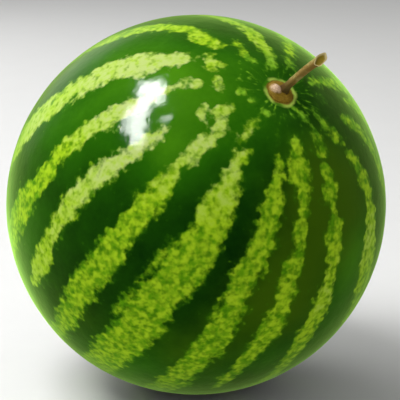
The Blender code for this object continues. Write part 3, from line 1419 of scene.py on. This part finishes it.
@dataclass(frozen=True)
class Softbox:
    """A rectangular lamp that faces the fruit.

    Attributes:
        name: Its name.
        azimuth: Where it stands about the fruit, in degrees from -Y towards +X.
        elevation: How high it stands, in degrees.
        distance: How far it is from the middle of the fruit.
        width: Its width.
        height: Its height.
        power: Its power in watts.
        roll: How far it is turned about its own axis, in degrees.
        fade: How much of its width and height goes to its soft edges, 0 for hard ones.
        use: What it is for.
    """

    name: str
    azimuth: float
    elevation: float
    distance: float
    width: float
    height: float
    power: float
    roll: float = 0.0
    fade: float = 0.0
    use: LampUse = LampUse.GLINT

    def soften(self, data: bpy.types.Light) -> None:
        """Makes the lamp fade out towards its edges.

        Args:
            data: The lamp's data.
        """
        data.use_nodes = True
        sheet = NodeSheet(data.node_tree)
        across, along, _ = sheet.parts(sheet.out(sheet.node("ShaderNodeNewGeometry"), "Parametric"))
        strength: Amount = 1.0
        for share in (across, along):
            from_edge = 0.5 - sheet.math("ABSOLUTE", share - 0.5)
            strength = sheet.rise(from_edge, 0.0, self.fade * 0.5) * strength
        sheet.feed(data.node_tree.nodes["Emission"], Strength=strength)

    def build(self, target: Vector) -> None:
        """Adds the lamp.

        Args:
            target: What it faces.
        """
        data = bpy.data.lights.new(self.name, "AREA")
        data.shape = "RECTANGLE"
        data.size = self.width
        data.size_y = self.height
        data.energy = self.power
        if self.fade > 0.0:
            self.soften(data)
        lamp = bpy.data.objects.new(self.name, data)
        away = toward(self.azimuth, self.elevation)
        lamp.location = target + away * self.distance
        facing = (-away).to_track_quat("-Z", "Y").to_matrix().to_4x4()
        lamp.rotation_euler = (facing @ Matrix.Rotation(math.radians(self.roll), 4, "Z")).to_euler()
        lamp.visible_glossy = self.use is LampUse.GLINT
        lamp.visible_diffuse = self.use is LampUse.LIGHT
        bpy.context.scene.collection.objects.link(lamp)


LAMPS = (
    Softbox("upper_pane", -110.0, 68.0, 1.4, 0.50, 0.36, 115.0, roll=-20.0, fade=0.4),
    Softbox("lower_pane", -90.0, 52.0, 1.4, 0.70, 0.25, 115.0, roll=-55.0, fade=0.4),
    Softbox("side_pane", -100.0, 50.0, 1.4, 0.50, 0.10, 25.0, roll=-45.0, fade=0.5),
    Softbox("far_pane", -68.0, 60.0, 1.4, 0.10, 0.20, 6.0, roll=-45.0, fade=0.5),
    Softbox("back_sky", -182.0, 20.0, 2.2, 2.6, 1.8, 16.0, fade=0.9),
    Softbox("key", -105.0, 62.0, 2.0, 1.2, 1.2, 40.0, use=LampUse.LIGHT),
    Softbox("rim", -172.0, 30.0, 2.2, 1.6, 1.2, 24.0, use=LampUse.LIGHT),
)


@dataclass(frozen=True)
class Studio:
    """The floor, the lamps and the camera.

    Attributes:
        floor_size: Side of the square floor.
        floor_colour: Its colour.
        sky: Brightness of the even light from all round.
        view_azimuth: The main view's azimuth, in degrees from -Y towards +X.
        view_elevation: Its elevation, in degrees.
        distance: The camera's distance from the middle of the fruit.
        lens: Its focal length in millimetres.
        aim_right: How far to the right of the fruit's middle it aims.
        aim_up: How far above the fruit's middle it aims.
        lamps: The lamps.
    """

    floor_size: float = 16.0
    floor_colour: Colour = (0.58, 0.58, 0.57, 1.0)
    sky: float = 0.55
    view_azimuth: float = -35.4
    view_elevation: float = 13.9
    distance: float = 1.0
    lens: float = 135.4
    aim_right: float = 0.0026
    aim_up: float = 0.0031
    lamps: tuple[Softbox, ...] = LAMPS

    def floor(self) -> None:
        """Adds the floor."""
        mesh = bpy.data.meshes.new("floor")
        half = self.floor_size / 2.0
        square = [(-half, -half, 0.0), (half, -half, 0.0), (half, half, 0.0), (-half, half, 0.0)]
        mesh.from_pydata(square, [], [(0, 1, 2, 3)])
        mesh.materials.append(FloorFinish(self.floor_colour).material())
        floor = bpy.data.objects.new("floor", mesh)
        bpy.context.scene.collection.objects.link(floor)
        floor.visible_glossy = False

    def surroundings(self) -> None:
        """Adds the even light from all round and sets how its colours are shown."""
        world = bpy.data.worlds.new("studio")
        world.use_nodes = True
        background = world.node_tree.nodes["Background"]
        background.inputs["Color"].default_value = (1.0, 1.0, 1.0, 1.0)
        background.inputs["Strength"].default_value = self.sky
        scene = bpy.context.scene
        scene.world = world
        world.cycles_visibility.glossy = False
        scene.view_settings.view_transform = "Standard"

    def camera(self, target: Vector) -> None:
        """Adds the camera.

        Args:
            target: The middle of the fruit.
        """
        turn = math.radians(self.view_azimuth)
        back = toward(self.view_azimuth, self.view_elevation)
        right = Vector((math.cos(turn), math.sin(turn), 0.0))
        up = back.cross(right)
        aim = target + right * self.aim_right + up * self.aim_up
        data = bpy.data.cameras.new("main_view")
        data.lens = self.lens
        data.clip_start = NEAREST_SEEN
        data.clip_end = FARTHEST_SEEN
        camera = bpy.data.objects.new("main_view", data)
        camera.location = target + back * self.distance
        camera.rotation_euler = (aim - camera.location).to_track_quat("-Z", "Y").to_euler()
        bpy.context.scene.collection.objects.link(camera)
        bpy.context.scene.camera = camera

    def build(self, target: Vector) -> None:
        """Builds the studio round the fruit.

        Args:
            target: The middle of the fruit.
        """
        self.floor()
        self.surroundings()
        for lamp in self.lamps:
            lamp.build(target)
        self.camera(target)


def main() -> None:
    """Builds the watermelon on its frame and reports each piece."""
    logging.basicConfig(level=logging.INFO, format="%(name)s: %(message)s")
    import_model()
    axis = FruitAxis.from_frame()
    rind = Rind(axis)
    rind.build()
    seat_height = axis.height_at(rind.seat_radius) - rind.stem_hollow_depth
    seat = Matrix.Translation((0.0, 0.0, seat_height))
    pad = CorkPad(
        "stem_pad", radius=0.0084, thickness=0.0012, lump_height=0.0014,
        knob_longitude=-56.0, knob_offset=0.0040, knob_radius=0.0038, knob_height=0.0029,
    )
    pad.build(axis, seat, CorkFinish())
    Stem(axis).build(seat_height)
    scar_height = axis.pole_radius - rind.blossom_hollow_depth
    scar_place = Matrix.Translation((0.0, 0.0, -scar_height)) @ Matrix.Rotation(math.pi, 4, "X")
    scar = CorkPad(
        "blossom_scar", radius=0.0034, thickness=0.0006, lump_height=0.0006,
        knob_radius=0.0012, knob_height=0.0008,
    )
    scar.build(axis, scar_place, CorkFinish("scar_cork"))
    Studio().build(axis.centre)


if __name__ == "__main__":
    main()
